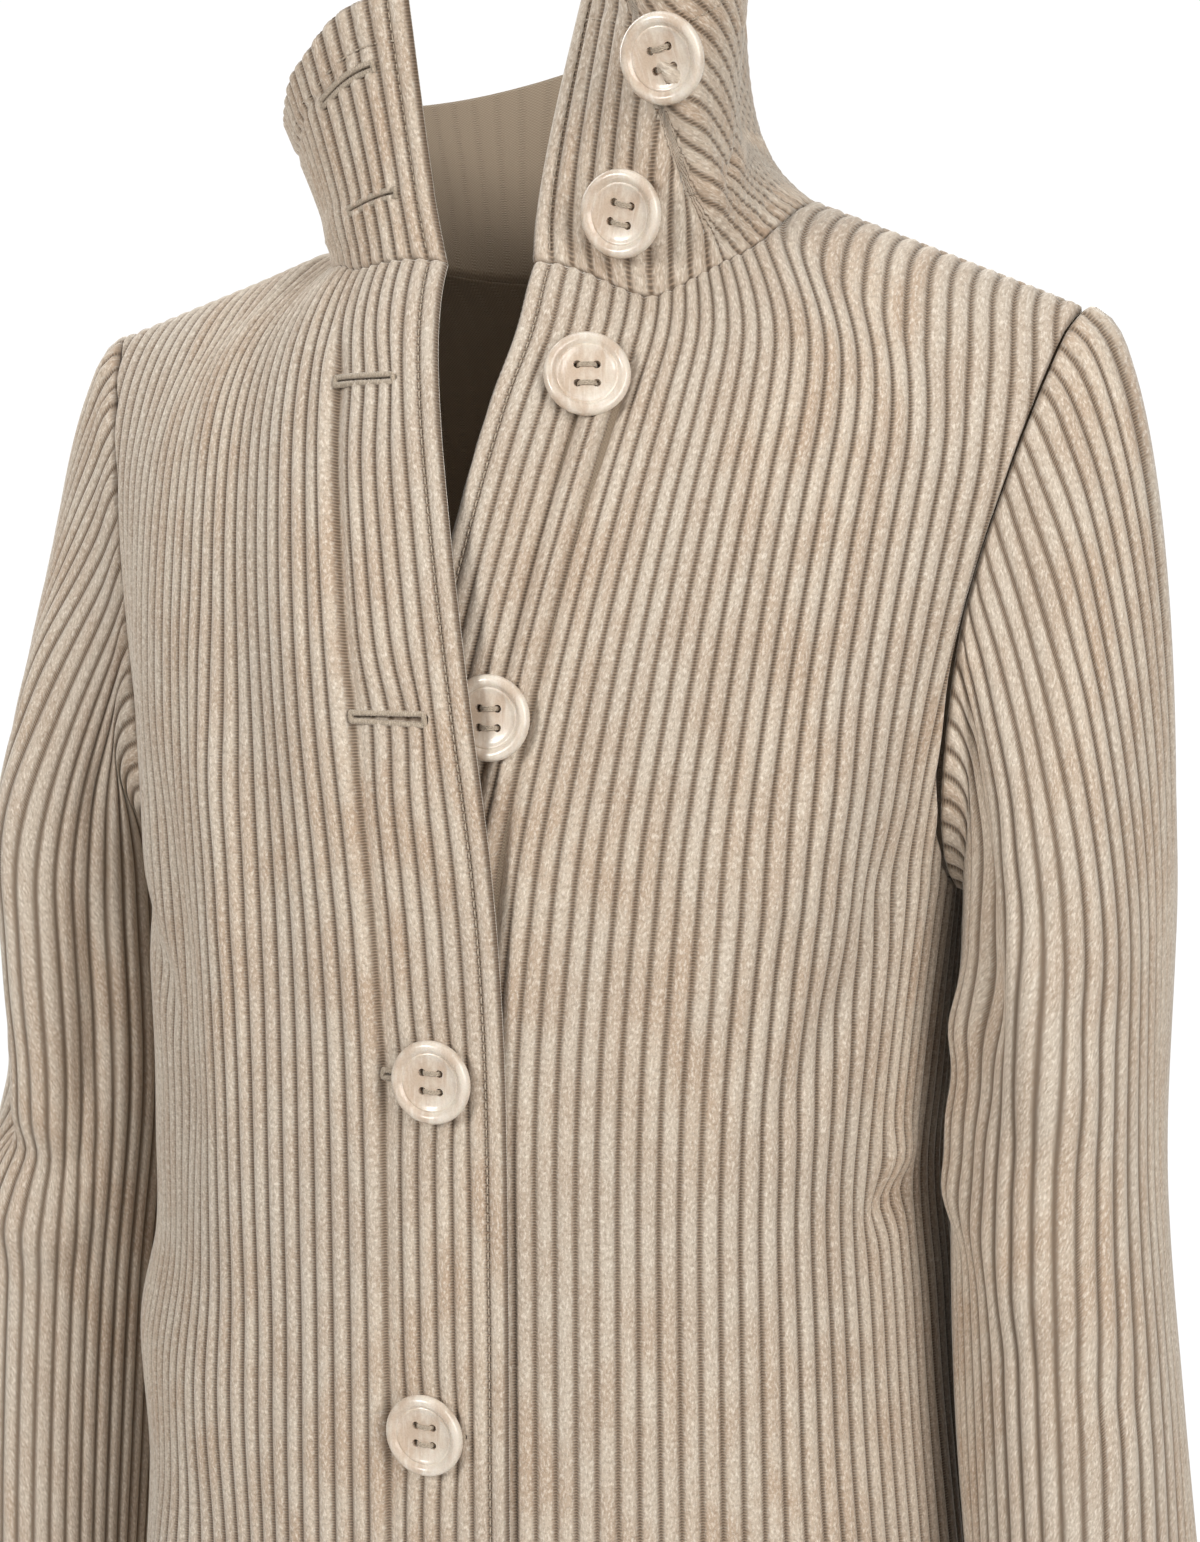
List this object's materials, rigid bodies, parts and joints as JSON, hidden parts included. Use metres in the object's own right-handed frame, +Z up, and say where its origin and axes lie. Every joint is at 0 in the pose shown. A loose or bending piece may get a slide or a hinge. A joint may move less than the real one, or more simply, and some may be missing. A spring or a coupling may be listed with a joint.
{
  "type": "corduroy coat",
  "caption": "Corduroy coat with a tall funnel collar, open at the neck and buttoned below, a hollow worn shell with set-in sleeves and large round buttons.",
  "frame": {"origin": "on the centre line of the coat, level with the points where the shoulder seams meet the neck: where the wearer's shoulders hold it up", "axes": "+Z up, the coat faces -Y, +X is the wearer's left"},
  "size_m": [0.5568, 0.2936, 0.8937],
  "materials": {
    "corduroy": "jumbo-wale cotton corduroy, beige, soft pile with a pale sheen",
    "button": "cream, satin with a glossier rim"
  },
  "bodies": {
    "root": {"front_right": "corduroy", "front_left": "corduroy", "back": "corduroy", "sleeve_right": "corduroy", "sleeve_left": "corduroy", "collar": "corduroy", "button_1": "button", "button_2": "button", "button_3": "button", "button_4": "button", "button_5": "button", "button_6": "button", "button_7": "button"}
  },
  "joints": []
}
